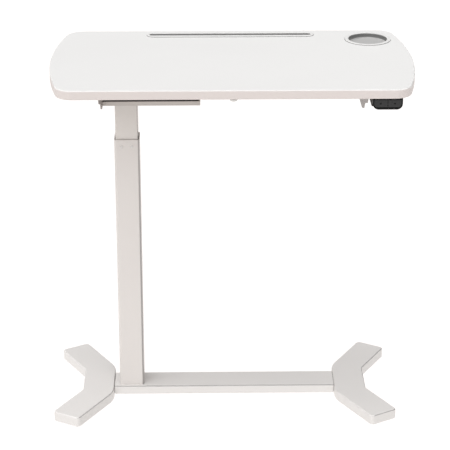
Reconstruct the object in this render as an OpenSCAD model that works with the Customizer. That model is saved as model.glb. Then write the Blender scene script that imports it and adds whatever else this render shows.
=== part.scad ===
// Overbed side table. One square lifting column stands near the left end of a low
// floor beam with a V-shaped foot at each end. An electric drive under the tabletop
// turns a spindle inside the column, and a two-key handset hangs under the front edge.

/* [Tabletop] */
// Length of the tabletop, left to right
top_len = 800; // [720:10:960]
// Width of the tabletop, front to back
top_wid = 452; // [436:4:560]
// Thickness of the tabletop
top_thk = 20.5; // [17:0.5:28]
// Height of the tabletop's upper face above the floor, at rest
top_height = 815; // [680:5:980]
// Radius of the bowed ends
end_bow_r = 844; // [600:4:1200]
// Radius of the four corners
corner_r = 39; // [20:1:60]
// Thickness of the edge band
band_thk = 2; // [1:0.5:3]

/* [Tablet slot] */
// Outer length of the slot's rim
slot_rim_len = 386; // [260:2:460]
// Outer width of the slot's rim
slot_rim_wid = 36; // [30:1:44]
// Length of the slot's opening
slot_len = 372; // [240:2:446]
// Width of the slot's opening
slot_wid = 15; // [10:1:20]
// Depth of the slot below the tabletop's upper face
slot_depth = 9; // [5:0.5:12]
// Distance from the tabletop's rear edge to the middle of the slot
slot_setback = 36.5; // [30:0.5:60]

/* [Cup well] */
// Outer diameter of the well's rim
cup_rim_d = 106; // [90:1:118]
// Inner diameter of the well
cup_d = 88; // [72:1:98]
// Depth of the well below the tabletop's upper face
cup_depth = 9.5; // [5:0.5:12]
// Distance from the tabletop's right end to the middle of the well
cup_inset_x = 85.6; // [75:0.2:120]
// Distance from the tabletop's rear edge to the middle of the well
cup_inset_y = 76; // [68:1:110]
// Height of both rims above the tabletop
rim_rise = 2; // [1:0.5:4]
// Wall of both plastic inserts
insert_wall = 2; // [1.5:0.5:3]

/* [Column] */
// Distance from the column's axis to the middle of the tabletop
column_offset = 234.9; // [190:0.1:280]
// Outside width of the outer tube
outer_w = 56.5; // [50:0.5:80]
// Corner radius of the outer tube
outer_r = 6; // [3:0.5:9]
// Wall of both tubes
tube_wall = 1.5; // [1.5:0.25:2.5]
// Gap between the two tubes, filled by the glides
tube_gap = 1.5; // [1.25:0.25:3]
// Length of inner tube that shows above the outer tube at rest
tube_shown = 89; // [84:1:160]
// Free running travel below the rest height
travel_down = 80; // [40:5:80]

/* [Base] */
// Length of the base, from foot tip to foot tip
base_len = 784; // [680:2:960]
// Width of each foot at its middle
foot_mid_w = 73; // [60:1:88]
// Width of each foot's arms
foot_arm_w = 70; // [54:1:84]
// Length of each foot arm's inner edge
foot_arm_len = 150; // [120:1:180]
// Half length of each foot's straight middle
foot_bend_y = 64.5; // [58:0.5:84]
// Angle of the foot arms from the front-to-back direction
foot_angle = 30; // [20:1:40]
// Height of the feet's upper face
foot_top = 24; // [20:1:32]
// Height of the beam's upper face
beam_top = 23.5; // [20:0.5:30]
// Width of the floor beam
beam_wid = 72; // [64:1:90]
// Wall of the floor beam
beam_wall = 2.5; // [2:0.5:4]
// Wall of the cast feet
foot_wall = 4; // [3:0.5:6]
// Clear distance between the column and the left foot
column_gap = 13.5; // [8:0.5:60]

/* [Frame under the top] */
// Distance from the tabletop's middle to each side arm
arm_x = 286; // [260:1:330]
// Depth of the side arms below the tabletop
arm_depth = 72; // [64:1:90]
// Sheet thickness of the side arms
arm_thk = 2; // [1.5:0.5:4]
// Width of the drive tray
tray_wid = 110; // [96:1:130]
// Length of the drive tray
tray_len = 215; // [196:1:260]
// Height of the rails under the tabletop
rail_h = 25; // [15:1:26]
// Width of each rail
rail_w = 25; // [15:1:30]
// Distance from the middle to each rail
rail_y = 34; // [24:1:44]

/* [Handset] */
// Distance from the tabletop's middle to the middle of the handset
handset_x = 324.5; // [306:0.5:330]
// Width of the handset's face
face_w = 63.4; // [56:0.2:76]
// Height of the handset's face
face_h = 25.4; // [22:0.2:34]
// Width of the handset's body behind its face
handset_w = 67; // [60:1:80]
// Height of the handset's body behind its face
handset_h = 23.5; // [20:0.5:32]
// Depth of the handset, front to back
handset_d = 70; // [60:1:90]
// Distance from the tabletop's front edge to the handset's face
handset_setback = 6; // [2:1:20]
// Travel of each key
key_travel = 1; // [0.5:0.1:1.5]

/* [Fits] */
// Gap between a tube and the glide that it runs in
glide_fit = 0.05; // [0.02:0.01:0.1]
// Gap around parts that are set into a pocket
pocket_gap = 0.3; // [0.1:0.05:0.6]
// Gap around a screw in its hole
screw_gap = 0.05; // [0.02:0.01:0.2]

/* [Hidden] */
$fn = 48;
eps = 0.01;

// Heights
underside = top_height - top_thk;
tray_flange = 5.5;
tray_thk = 2;
tray_lip = 4;
tray_lift = 3;
tray_bottom = underside - arm_depth + tray_lift;
tray_top = tray_bottom + tray_flange;
outer_top = tray_bottom - tube_shown;
foot_bottom = 1.5;
foot_plate_thk = 3;
beam_bottom = foot_bottom + foot_plate_thk - beam_wall;

// Plan positions, measured from the column's axis, then moved so that the object's
// box is centred on the origin
foot_sin = sin(foot_angle);
foot_cos = cos(foot_angle);
toe_r = 9;
crook_r = 10;
bend_r = 75;
foot_reach = foot_arm_len * foot_sin + foot_arm_w * foot_cos;
foot_trim = toe_r * (foot_sin + foot_cos - 1);
foot_face = base_len / 2 + foot_trim - foot_reach;
base_x = foot_face - column_gap - outer_w / 2;
top_x = column_offset;
left_end = min(base_x - base_len / 2, top_x - top_len / 2);
right_end = max(base_x + base_len / 2, top_x + top_len / 2);
shift_x = -(left_end + right_end) / 2;

// Column
outer_in = outer_w - 2 * tube_wall;
inner_w = outer_in - 2 * tube_gap;
inner_r = outer_r - tube_wall - tube_gap;
column_plate_thk = 8;
column_plate_top = beam_top + column_plate_thk;
inner_bottom = column_plate_top + travel_down + 12;
head_plate_thk = tray_flange - tray_thk;
head_plate_w = 76;
head_plate_r = 8;
inner_top = tray_bottom;
upper_glide_len = 56;
glide_recess = 2.5;
lower_glide_len = 40;
stud_x = 11.5;
stud_drop = 16;
stud_d = 4;
stud_head_d = 6;

// Drive
spindle_d = 12;
spindle_bottom = column_plate_top + travel_down + 18;
spindle_top = tray_top + 30;
nut_tube_d = 28;
nut_tube_wall = 2.5;
nut_len = 45;
nut_seat = 20;
nut_top = outer_top - 61;
nut_tube_top = nut_top - nut_len + nut_seat;
bearing_d = 28;
bearing_h = 8;
bearing_seat = 1;
bearing_top = tray_top + bearing_seat + bearing_h;
spindle_hole_d = spindle_d + 10;
gearbox_w = 56;
gearbox_h = 34;
gearbox_flange = 4;
motor_d = 29;
motor_len = 112;
motor_nose_d = 20;
motor_nose = 8;
motor_tail_d = 14;
motor_tail = 5;
motor_z = tray_top + gearbox_flange + motor_d / 2 + 0.5;
tray_left = top_x - arm_x + arm_thk / 2;
tray_right = tray_left + tray_len;
cover_wid = tray_wid - 27;
cover_wall = 2;
rail_drop = rail_h + arm_thk;
cover_top = underside - rail_drop;
rail_wall = 2;
hanger_thk = 3;

// Frame
arm_flange_w = 24;
arm_half = 184;
arm_steps = [[1, 0], [0.99, 0.2], [0.935, 0.36], [0.78, 0.5], [0.66, 0.58], [0.54, 0.86], [0.36, 1]];
arm_screw_x = arm_x - arm_flange_w / 2 - arm_thk / 2;
arm_screw_y = [12 - arm_half, -60, 60, arm_half - 12];
lead_hole_y = 100;
lead_hole_z = -14;
lead_hole_d = 12;
tray_lead_drop = 50;
tray_lead_d = 10;

// Screws
wood_d = 4;
wood_bite = top_thk - max(cup_depth, slot_depth) - insert_wall - 1;
wood_len = wood_bite + arm_thk;
wood_head_d = 8;
wood_head_h = 2.4;
bolt_d = 6;
column_bolt_d = 8;
column_bolt_at = 17;
head_bolt_at = 31;
spigot_thk = beam_top - beam_bottom - 2 * beam_wall - 2 * pocket_gap;
spigot_wid = beam_wid - 2 * beam_wall - 2 * pocket_gap;
spigot_in = column_gap + outer_w + 20;
spigot_out = 52;
spigot_z = (beam_top + beam_bottom) / 2;
spigot_bottom = spigot_z - spigot_thk / 2;
spigot_screw_y = 18;
spigot_screw_in = column_gap + outer_w + 9;
spigot_screw_out = 26;
bolt_head_h = 5;
column_bolt_seat = spigot_bottom + bolt_head_h + 0.4;

// Floor pads
pad_d = 24;
pad_stem_d = 4;
pad_stem = 12;
pad_boss_d = 16;
pad_inset = 28;

// Front cover cap
cap_d = 17;
cap_tip_d = 11;
cap_stem_d = 6;
cap_stem = 5;
cap_inset = 9;

// Handset and control box
handset_face_y = -top_wid / 2 + handset_setback;
handset_wall = 2;
handset_nose = 17;
handset_corner_r = 4;
face_corner_r = 12.5;
bezel_thk = 2.5;
handset_screws_y = [26, 52];
handset_lead_z = -5;
key_side = 2.6;
key_above = 3.9;
key_below = 4.9;
key_gap = 0.35;
key_split = 0.7;
key_w = (face_w - key_split) / 2 - key_side;
key_h = face_h - key_above - key_below;
key_lip = 1;
key_depth = 6;
board_depth = 13;
board_w = 50;
board_h = 14;
board_top = -5;
board_thk = 1.6;
switch_w = 6;
box_x0 = -20;
box_x1 = 100;
box_y0 = -130;
box_y1 = -66;
box_h = 28;
box_wall = 2.5;
lid_thk = 3;
lid_ear = 12;
box_screw_y = 10;
inlet_x = 30;
inlet_w = 12;
inlet_h = 10;
inlet_len = 13;
inlet_face = 2;
inlet_z = -15;
inlet_bore_d = 6.4;
inlet_pin_d = 2;
box_lead_z = -11;
lead_d = 4;
clip_w = 8;
clip_len = 18;
clip_h = 8.5;
clip_z = -5;
clip_bore_d = lead_d + 0.8;

// Routes of the two leads, from the middle of the tabletop and its underside
handset_route = [[324, -156, -5], [324, -146, -5], [324, -136, -5], [324, -126, -5],
    [322, -116, -5], [317, -107, -5], [309, -102, -6], [299, -100, -9], [289, -100, -12],
    [279, -100, -12], [269, -100, -10], [259, -100, -7], [249, -100, -5], [237, -100, -5],
    [225, -100, -5], [213, -100, -5], [201, -100, -5], [189, -100, -5], [177, -100, -5],
    [165, -100, -5], [153, -100, -5], [142, -100, -5], [131, -100, -7], [121, -100, -10],
    [111, -100, -11], [103, -100, -11], [94, -100, -11]];
motor_route = [[-76, 0, -50], [-70, 0, -50], [-60, -2, -50], [-52, -8, -50], [-48, -18, -50],
    [-47, -30, -49], [-47, -42, -47], [-47, -54, -42], [-47, -64, -35], [-46, -74, -28],
    [-44, -84, -21], [-40, -92, -16], [-33, -98, -12], [-24, -100, -11], [-14, -100, -11]];
clip_spots = [[324, -131, 90], [231, -100, 0], [171, -100, 0]];

// Arc from point p around centre m by angle d, in n steps
function swing(m, p, d, n) = let (r = norm(p - m), a = atan2(p.y - m.y, p.x - m.x))
    [for (i = [0:n]) m + r * [cos(a + d * i / n), sin(a + d * i / n)]];
function unit(v) = v / norm(v);

// Corner b of an outline that runs a, b, c, rounded to radius r
function corner(a, b, c, r, n) = let (u = unit(a - b), v = unit(c - b), h = acos(u * v) / 2)
    swing(b + unit(u + v) * r / sin(h), b + u * r / tan(h),
        (180 - 2 * h) * (cross(u, v) < 0 ? 1 : -1), n);
function soften(pts, rs, n = 6) = let (k = len(pts))
    [for (i = [0:k - 1]) each corner(pts[(i + k - 1) % k], pts[i], pts[(i + 1) % k], rs[i], n)];

// Tabletop outline, drawn in by d all round: bowed ends that run into round corners
function top_outline(d) = let (
        half_l = top_len / 2 - d, half_w = top_wid / 2 - d, r = corner_r - d, bow = end_bow_r - d,
        bow_x = half_l - bow, cx = bow_x + sqrt(pow(bow - r, 2) - pow(half_w - r, 2)),
        a = atan2(half_w - r, cx - bow_x),
        end = concat(swing([cx, r - half_w], [cx, -half_w], 90 - a, 8),
            swing([bow_x, 0], bow * [cos(a), -sin(a)] + [bow_x, 0], 2 * a, 20),
            swing([cx, half_w - r], [cx, half_w - r] + r * [cos(a), sin(a)], 90 - a, 8)))
    concat(end, [for (p = end) -p]);

// Foot outline about the middle of the base, for the right foot
function foot_outline(d) = let (
        bend = [foot_face, foot_bend_y],
        heel = bend + foot_arm_len * [foot_sin, foot_cos],
        toe = heel + foot_arm_w * [foot_cos, -foot_sin],
        back = (toe.x - foot_face - foot_mid_w) / foot_sin,
        crook = toe - back * [foot_sin, foot_cos],
        side = [crook, toe, heel, bend])
    soften(concat(side, [for (i = [3:-1:0]) [side[i].x, -side[i].y]]),
        [crook_r, toe_r, toe_r, bend_r, bend_r, toe_r, toe_r, crook_r]);

// Tube of diameter d swept along a list of points, with flat ends
module swept(route, d, sides) {
    n = len(route);
    ring = [for (i = [0:n - 1]) let (
            t = unit(route[min(i + 1, n - 1)] - route[max(i - 1, 0)]),
            s = unit(cross(t, [0, 0, 1])), u = cross(s, t))
        each [for (k = [0:sides - 1]) route[i] + d / 2 * (cos(360 * k / sides) * s
            + sin(360 * k / sides) * u)]];
    skin = [for (i = [0:n - 2], k = [0:sides - 1]) [i * sides + k, i * sides + (k + 1) % sides,
        (i + 1) * sides + (k + 1) % sides, (i + 1) * sides + k]];
    polyhedron(ring, concat(skin, [[for (k = [sides - 1:-1:0]) k]],
        [[for (k = [0:sides - 1]) (n - 1) * sides + k]]), convexity = 6);
}

module place_base() { translate([shift_x + base_x, 0, 0]) children(); }
module place_column() { translate([shift_x, 0, 0]) children(); }
module place_top() { translate([shift_x + top_x, 0, underside]) children(); }

// Rectangle with round corners
module soft_rect(w, d, r) {
    square([w - 2 * r, d], center = true);
    square([w, d - 2 * r], center = true);
    for (x = [-1, 1], y = [-1, 1]) translate([x * (w / 2 - r), y * (d / 2 - r)]) circle(r);
}
module pill(l, w) {
    square([l - w, w], center = true);
    for (x = [-1, 1]) translate([x * (l - w) / 2, 0]) circle(w / 2);
}
module slab(z0, z1) { translate([0, 0, z0]) linear_extrude(z1 - z0) children(); }
module rod(d, z0, z1) { translate([0, 0, z0]) cylinder(d = d, h = z1 - z0); }
module four(x, y) { for (i = [-1, 1], j = [-1, 1]) translate([i * x, j * y, 0]) children(); }

// Countersunk screw that points up, its head flush with height 0
module countersunk(d, length, gap = 0) {
    rod(d + 2 * gap, -gap, length + gap);
    translate([0, 0, -gap]) cylinder(d1 = 2 * d + 2 * gap, d2 = d + 2 * gap, h = d / 2 + gap);
}

// Base -------------------------------------------------------------------------------

module foot_plan(side) { scale([side, 1]) polygon(foot_outline(0)); }
// A floor pad near each toe, and one on each side of the spigot
module foot_spots(side) {
    toe = [foot_face, foot_bend_y] + foot_arm_w / 2 * [foot_cos, -foot_sin]
        + (foot_arm_len - pad_inset) * [foot_sin, foot_cos];
    for (y = [-1, 1]) {
        translate([side * toe.x, y * toe.y, 0]) children();
        translate([side * (foot_face + foot_mid_w / 2), y * (foot_bend_y - 20), 0]) children();
    }
}
module foot(side) {
    color("whitesmoke") place_base() difference() {
        slab(foot_bottom, foot_top) foot_plan(side);
        slab(foot_bottom - eps, foot_bottom + foot_plate_thk + pocket_gap) foot_inside(side, 0);
        difference() {
            slab(foot_bottom, foot_top - foot_wall) foot_inside(side, 3);
            foot_spots(side) rod(pad_boss_d, foot_bottom, foot_top);
        }
        translate([side * foot_face, 0, spigot_z]) cube([2 * (spigot_out + pocket_gap),
            spigot_wid + 2 * pocket_gap, spigot_thk + 2 * pocket_gap], center = true);
        foot_spots(side) rod(pad_stem_d + 2 * screw_gap, foot_bottom, foot_bottom + pad_stem + 1);
    }
}
// The foot's inside, its wall thickened by more for the ledge that the plate sits on
module foot_inside(side, more) {
    w = foot_wall + more;
    bend = [foot_face + w, foot_bend_y - 0.27 * w];
    heel = bend + (foot_arm_len - 0.73 * w) * [foot_sin, foot_cos];
    toe = heel + (foot_arm_w - 2 * w) * [foot_cos, -foot_sin];
    back = (toe.x - foot_face - foot_mid_w + w) / foot_sin;
    crook = toe - back * [foot_sin, foot_cos];
    half = [crook, toe, heel, bend];
    scale([side, 1]) polygon(soften(concat(half, [for (i = [3:-1:0]) [half[i].x, -half[i].y]]),
        [crook_r + w, toe_r - foot_wall, toe_r - foot_wall, bend_r - w, bend_r - w,
            toe_r - foot_wall, toe_r - foot_wall, crook_r + w]));
}
module foot_plate(side) {
    color("dimgray") place_base() difference() {
        slab(foot_bottom, foot_bottom + foot_plate_thk) foot_inside(side, pocket_gap);
        foot_spots(side)
            rod(pad_stem_d + 2 * screw_gap, foot_bottom - eps, foot_bottom + foot_plate_thk + eps);
        for (y = [-1, 1]) translate([side * (foot_face + spigot_screw_out), y * spigot_screw_y, foot_bottom])
            countersunk(bolt_d, foot_plate_thk + 1, screw_gap);
    }
}
module floor_pads(side) {
    color("gray") place_base() foot_spots(side) {
        rod(pad_d, 0, foot_bottom);
        rod(pad_stem_d, 0, foot_bottom + pad_stem);
    }
}
module base_beam() {
    color("whitesmoke") place_base() difference() {
        beam_half = foot_face - 1;
        rotate([90, 0, 90]) linear_extrude(2 * beam_half, center = true) difference() {
            translate([0, spigot_z]) soft_rect(beam_wid, beam_top - beam_bottom, 3);
            translate([0, spigot_z]) square([beam_wid - 2 * beam_wall,
                beam_top - beam_bottom - 2 * beam_wall], center = true);
        }
        for (side = [-1, 1], y = [-1, 1])
            translate([side * (foot_face - spigot_screw_in), y * spigot_screw_y, beam_bottom])
                countersunk(bolt_d, beam_wall + 1, screw_gap);
        translate([-base_x, 0, 0]) four(column_bolt_at, column_bolt_at) {
            rod(column_bolt_d + 2 * screw_gap, beam_top - beam_wall - eps, beam_top + eps);
            rod(16, beam_bottom - eps, beam_bottom + beam_wall + eps);
        }
    }
}
module spigot(side) {
    color("silver") place_base() difference() {
        start = side > 0 ? foot_face - spigot_in : -foot_face - spigot_out;
        translate([start, -spigot_wid / 2, spigot_bottom])
            cube([spigot_in + spigot_out, spigot_wid, spigot_thk]);
        spigot_screw_spots(side) rod(bolt_d + 2 * screw_gap, foot_bottom, beam_bottom + 14);
        for (y = [-1, 1]) translate([side * (foot_face - spigot_screw_in), y * spigot_screw_y, beam_bottom])
            countersunk(bolt_d, 4, screw_gap);
        if (side < 0) translate([-base_x, 0, 0]) four(column_bolt_at, column_bolt_at) {
            rod(column_bolt_d + 2 * screw_gap, beam_bottom, beam_top);
            rod(column_bolt_d + 6, beam_bottom, column_bolt_seat);
        }
    }
}
module spigot_screw_spots(side) {
    for (y = [-1, 1]) {
        translate([side * (foot_face - spigot_screw_in), y * spigot_screw_y, beam_bottom - foot_bottom])
            children();
        translate([side * (foot_face + spigot_screw_out), y * spigot_screw_y, 0]) children();
    }
}
module spigot_screws() {
    color("dimgray") place_base() for (side = [-1, 1])
        spigot_screw_spots(side) translate([0, 0, foot_bottom]) countersunk(bolt_d, 13);
}
module beam_access_plugs() {
    color("lightgray") place_column() four(column_bolt_at, column_bolt_at)
        rod(16 - 2 * screw_gap, beam_bottom, beam_bottom + beam_wall);
}

// Column -----------------------------------------------------------------------------

module square_tube(w, r, wall, z0, z1) {
    difference() {
        slab(z0, z1) soft_rect(w, w, r);
        slab(z0 - 1, z1 + 1) soft_rect(w - 2 * wall, w - 2 * wall, r - wall);
    }
}
module studs(d, depth) {
    for (y = [-1, 1], x = [-1, 1]) translate([x * stud_x, y * (outer_w / 2 - depth), outer_top - stud_drop])
        rotate([-90 * y, 0, 0]) cylinder(d = d, h = depth + eps);
}
module column_outer() {
    color("gainsboro") place_column() difference() {
        square_tube(outer_w, outer_r, tube_wall, beam_top, outer_top);
        studs(stud_d + 2 * screw_gap, tube_wall + 0.5);
    }
}
module column_foot_plate() {
    color("dimgray") place_column() difference() {
        slab(beam_top, column_plate_top) soft_rect(outer_in, outer_in, outer_r - tube_wall);
        four(column_bolt_at, column_bolt_at)
            rod(column_bolt_d + 2 * screw_gap, beam_top - eps, column_plate_top + eps);
    }
}
module column_bolts() {
    color("silver") place_column() four(column_bolt_at, column_bolt_at) {
        rod(column_bolt_d, column_bolt_seat, column_plate_top - 1);
        rod(column_bolt_d + 5, column_bolt_seat - bolt_head_h, column_bolt_seat);
    }
}
module nut_tube() {
    color("silver") place_column() difference() {
        rod(nut_tube_d, column_plate_top, nut_tube_top);
        rod(nut_tube_d - 2 * nut_tube_wall, column_plate_top - 1, nut_tube_top + 1);
    }
}
module spindle_nut() {
    color("tan") place_column() difference() {
        union() {
            rod(nut_tube_d - 2 * nut_tube_wall, nut_tube_top - nut_seat, nut_tube_top);
            rod(nut_tube_d, nut_tube_top, nut_top);
        }
        rod(spindle_d + 2 * glide_fit, nut_tube_top - nut_seat - 1, nut_top + 1);
    }
}
module upper_glide() {
    color("dimgray") place_column() difference() {
        square_tube(outer_in, outer_r - tube_wall, tube_gap - glide_fit,
            outer_top - glide_recess - upper_glide_len, outer_top - glide_recess);
        studs(stud_d + 2 * screw_gap, tube_wall + tube_gap + 1);
    }
}
module glide_studs() {
    color("silver") place_column() {
        studs(stud_d, tube_wall + tube_gap - 3 * glide_fit);
        for (y = [-1, 1], x = [-1, 1])
            translate([x * stud_x, y * outer_w / 2, outer_top - stud_drop]) rotate([-90 * y, 0, 0])
                cylinder(d1 = stud_head_d, d2 = stud_head_d - 1.5, h = 1);
    }
}
module column_inner() {
    color("lightgray") place_column() square_tube(inner_w, inner_r, tube_wall, inner_bottom, inner_top);
}
module lower_glide() {
    color("dimgray") place_column() square_tube(outer_in - 2 * glide_fit, outer_r - tube_wall - glide_fit,
        tube_gap - glide_fit, inner_bottom, inner_bottom + lower_glide_len);
}
module column_head_plate() {
    color("silver") place_column() difference() {
        slab(tray_bottom, tray_bottom + head_plate_thk) soft_rect(head_plate_w, head_plate_w, head_plate_r);
        rod(spindle_hole_d, tray_bottom - 1, tray_top + 1);
        four(head_bolt_at, head_bolt_at) rod(bolt_d + 2 * screw_gap, tray_bottom - 1, tray_top + 1);
    }
}
module head_bolts() {
    color("silver") place_column() four(head_bolt_at, head_bolt_at) {
        rod(bolt_d, tray_bottom, tray_top + gearbox_flange);
        rod(10, tray_top + gearbox_flange, tray_top + gearbox_flange + 3.5);
    }
}

// Drive ------------------------------------------------------------------------------

module spindle() {
    color("silver") place_column() {
        rod(spindle_d, spindle_bottom, spindle_top);
        rod(spindle_d + 6, bearing_top + 0.1, bearing_top + 2);
    }
}
module spindle_end_guide() {
    color("white") place_column()
        rod(nut_tube_d - 2 * nut_tube_wall - 1, spindle_bottom - 6, spindle_bottom);
}
module spindle_bearing() {
    color("gray") place_column() difference() {
        rod(bearing_d, tray_top + bearing_seat, bearing_top);
        rod(spindle_d + 2 * glide_fit, tray_top, bearing_top + 1);
    }
}
module gearbox_housing() {
    color("darkgray") place_column() difference() {
        union() {
            slab(tray_top, tray_top + gearbox_flange) soft_rect(head_plate_w, head_plate_w, head_plate_r);
            slab(tray_top, tray_top + gearbox_h) soft_rect(gearbox_w, gearbox_w, head_plate_r);
        }
        four(head_bolt_at, head_bolt_at) rod(bolt_d + 2 * screw_gap, tray_top - 1, tray_top + 10);
        rod(spindle_d + 8, tray_top - 1, tray_top + bearing_seat + 1);
        rod(bearing_d, tray_top + bearing_seat, bearing_top);
        rod(spindle_d + 12, bearing_top - 1, tray_top + gearbox_h - 3);
        translate([gearbox_w / 2 + 1, 0, motor_z]) rotate([0, -90, 0])
            cylinder(d = motor_nose_d + 2 * screw_gap, h = motor_nose + 1 + screw_gap);
    }
}
module drive_motor() {
    color("dimgray") place_column() translate([gearbox_w / 2, 0, motor_z]) rotate([0, 90, 0]) {
        cylinder(d = motor_d, h = motor_len);
        translate([0, 0, -motor_nose]) cylinder(d = motor_nose_d, h = motor_nose);
        translate([0, 0, motor_len]) cylinder(d = motor_tail_d, h = motor_tail);
    }
}
module motor_tray() {
    color("silver") translate([shift_x, 0, 0]) difference() {
        translate([tray_left, -tray_wid / 2, tray_bottom])
            cube([tray_len, tray_wid, tray_flange + tray_lip]);
        translate([tray_left - 1, -tray_wid / 2 + tray_thk, tray_top])
            cube([tray_len + 2, tray_wid - 2 * tray_thk, tray_lip + 1]);
        translate([tray_left - 1, -tray_wid / 2 + tray_thk, tray_bottom - 1])
            cube([tray_len + 2, tray_wid - 2 * tray_thk, tray_flange - tray_thk + 1]);
        rod(spindle_hole_d, tray_bottom, tray_top + 1);
        four(head_bolt_at, head_bolt_at) rod(bolt_d + 2 * screw_gap, tray_bottom, tray_top + 1);
    }
}
module tray_hanger() {
    color("silver") translate([shift_x + tray_right - hanger_thk, 0, 0]) difference() {
        translate([0, -cover_wid / 2, tray_top]) cube([hanger_thk, cover_wid, cover_top - tray_top]);
        translate([-1, 0, underside - tray_lead_drop]) rotate([0, 90, 0])
            cylinder(d = tray_lead_d, h = hanger_thk + 2);
    }
}
module motor_cover() {
    color("black") translate([shift_x, 0, 0]) difference() {
        translate([tray_left, -cover_wid / 2, tray_top])
            cube([tray_len - hanger_thk, cover_wid, cover_top - tray_top]);
        translate([tray_left - 1, -cover_wid / 2 + cover_wall, tray_top - 1])
            cube([tray_len - hanger_thk - 1, cover_wid - 2 * cover_wall,
                cover_top - tray_top - cover_wall + 1]);
        translate([tray_right - hanger_thk - 2 * cover_wall, 0, underside - tray_lead_drop])
            rotate([0, 90, 0]) cylinder(d = tray_lead_d, h = 4 * cover_wall);
    }
}

// Frame under the top ----------------------------------------------------------------

module side_arm(side) {
    half = [for (p = arm_steps) [p[0] * arm_half, -p[1] * arm_depth]];
    color("silver") place_top() translate([side * arm_x, 0, 0]) difference() {
        union() {
            rotate([90, 0, 90]) linear_extrude(arm_thk, center = true)
                polygon(concat([for (p = half) [-p[0], p[1]]],
                    [for (i = [len(half) - 1:-1:0]) half[i]]));
            translate([side > 0 ? -arm_flange_w : 0, -arm_half, -arm_thk])
                cube([arm_flange_w, 2 * arm_half, arm_thk]);
        }
        for (y = arm_screw_y) translate([side * (arm_screw_x - arm_x), y, -arm_thk])
            rod(wood_d + 2 * screw_gap, -1, arm_thk + 1);
        for (y = [-1, 1]) translate([-arm_thk, y * lead_hole_y, lead_hole_z]) rotate([0, 90, 0])
            cylinder(d = lead_hole_d, h = 2 * arm_thk);
    }
}
module rail(side) {
    color("silver") place_top() translate([0, side * rail_y, -rail_drop]) difference() {
        translate([-arm_x + arm_thk / 2, -rail_w / 2, 0])
            cube([2 * arm_x - arm_thk, rail_w, rail_h]);
        translate([-arm_x, -rail_w / 2 + rail_wall, rail_wall])
            cube([2 * arm_x, rail_w - 2 * rail_wall, rail_h - 2 * rail_wall]);
    }
}

// Tabletop ---------------------------------------------------------------------------

module at_slot() { translate([0, top_wid / 2 - slot_setback, 0]) children(); }
module at_cup() { translate([top_len / 2 - cup_inset_x, top_wid / 2 - cup_inset_y, 0]) children(); }

// Every wood screw's place: its middle, and how far its head sits below the underside
box_screws = [for (x = [box_x0 - lid_ear / 2, box_x1 + lid_ear / 2],
        y = [box_y0 + box_screw_y, box_y1 - box_screw_y]) [x, y, -lid_thk]];
screw_spots = concat(
    [for (side = [-1, 1], y = arm_screw_y) [side * arm_screw_x, y, -arm_thk]],
    [for (y = handset_screws_y) [handset_x, handset_face_y + y, -handset_wall]], box_screws);

module tabletop_board() {
    color("whitesmoke") place_top() difference() {
        slab(0, top_thk) polygon(top_outline(band_thk));
        at_slot() slab(top_thk - slot_depth - insert_wall, top_thk + 1)
            pill(slot_len + 2 * insert_wall + 2 * pocket_gap, slot_wid + 2 * insert_wall + 2 * pocket_gap);
        at_cup() rod(cup_d + 2 * insert_wall + 2 * pocket_gap, top_thk - cup_depth - insert_wall,
            top_thk + 1);
        for (p = screw_spots) translate([p.x, p.y, 0])
            rod(wood_d + 2 * screw_gap, -1, wood_len + p.z + 0.5);
        translate([0, cap_inset - top_wid / 2, 0]) rod(cap_stem_d + 2 * screw_gap, -1, cap_stem + 1);
    }
}
module edge_band() {
    color("white") place_top() difference() {
        slab(0, top_thk) polygon(top_outline(0));
        slab(-1, top_thk + 1) polygon(top_outline(band_thk));
    }
}
module tablet_slot_insert() {
    color("lightgray") place_top() at_slot() difference() {
        union() {
            slab(top_thk, top_thk + rim_rise) pill(slot_rim_len, slot_rim_wid);
            slab(top_thk - slot_depth - insert_wall, top_thk + eps)
                pill(slot_len + 2 * insert_wall, slot_wid + 2 * insert_wall);
        }
        slab(top_thk - slot_depth, top_thk + rim_rise + 1) pill(slot_len, slot_wid);
    }
}
module cup_insert() {
    floor_z = top_thk - cup_depth;
    color("lightgray") place_top() at_cup() rotate_extrude($fn = 96) polygon([
        [0, floor_z - insert_wall], [cup_d / 2 + insert_wall, floor_z - insert_wall],
        [cup_d / 2 + insert_wall, top_thk], [cup_rim_d / 2, top_thk],
        [cup_rim_d / 2 - 1, top_thk + rim_rise], [cup_d / 2, top_thk + rim_rise],
        [cup_d / 2, floor_z], [0, floor_z]]);
}
module front_cover_cap() {
    color("gainsboro") place_top() translate([0, cap_inset - top_wid / 2, 0]) {
        rod(cap_d, -2, 0);
        translate([0, 0, -5]) cylinder(d1 = cap_tip_d, d2 = cap_d, h = 3);
        rod(cap_stem_d, -1, cap_stem);
    }
}
module underside_screws() {
    color("silver") place_top() for (p = screw_spots) translate(p) {
        rod(wood_d, -wood_head_h, wood_len);
        rod(wood_head_d, -wood_head_h, 0);
    }
}

// Electrics --------------------------------------------------------------------------

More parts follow.
